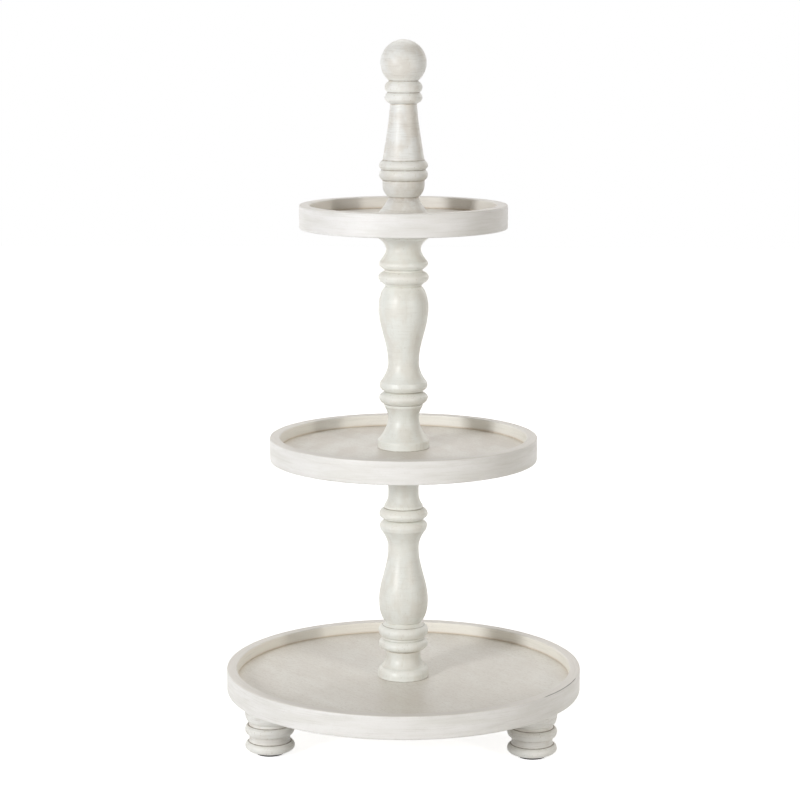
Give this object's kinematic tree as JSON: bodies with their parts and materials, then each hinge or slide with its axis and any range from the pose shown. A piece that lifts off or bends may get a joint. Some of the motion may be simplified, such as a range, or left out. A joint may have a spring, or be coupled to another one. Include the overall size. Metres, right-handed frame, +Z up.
{
  "type": "tiered stand",
  "caption": "Tiered serving stand: round rimmed trays, smaller towards the top, on turned baluster posts, with a ball finial and short turned feet, in whitewashed wood.",
  "frame": {"origin": "on the posts' axis, in the plane that the foot pads rest on, which is the centre of the bottom of the bounding box", "axes": "+Z up along the posts, -Y towards the front, with one foot behind on +Y and two in front"},
  "size_m": [0.3048, 0.3048, 0.5947],
  "materials": {
    "post_wood": "whitewashed and rubbed back, satin, with a warm grey glaze left in the turned grooves",
    "rim_wood": "whitewashed bent wood, satin, brushed round the hoop",
    "floor_wood": "whitewashed veneer, satin, with fine straight grain and open pores",
    "pad_rubber": "matt black",
    "steel": "zinc-plated"
  },
  "bodies": {
    "root": {"foot_back": "post_wood", "foot_front_left": "post_wood", "foot_front_right": "post_wood", "foot_pad_back": "pad_rubber", "foot_pad_front_left": "pad_rubber", "foot_pad_front_right": "pad_rubber", "foot_screw_back": "steel", "foot_screw_front_left": "steel", "foot_screw_front_right": "steel", "bottom_tray_base": "floor_wood", "bottom_tray_rim": "rim_wood", "middle_tray_base": "floor_wood", "middle_tray_rim": "rim_wood", "top_tray_base": "floor_wood", "top_tray_rim": "rim_wood", "lower_post": "post_wood", "upper_post": "post_wood", "finial": "post_wood", "lower_post_bottom_insert": "steel", "lower_post_top_insert": "steel", "upper_post_bottom_insert": "steel", "upper_post_top_insert": "steel", "finial_insert": "steel", "middle_tray_stud": "steel", "top_tray_stud": "steel", "bottom_tray_washer": "steel", "bottom_tray_bolt": "steel"}
  },
  "joints": []
}
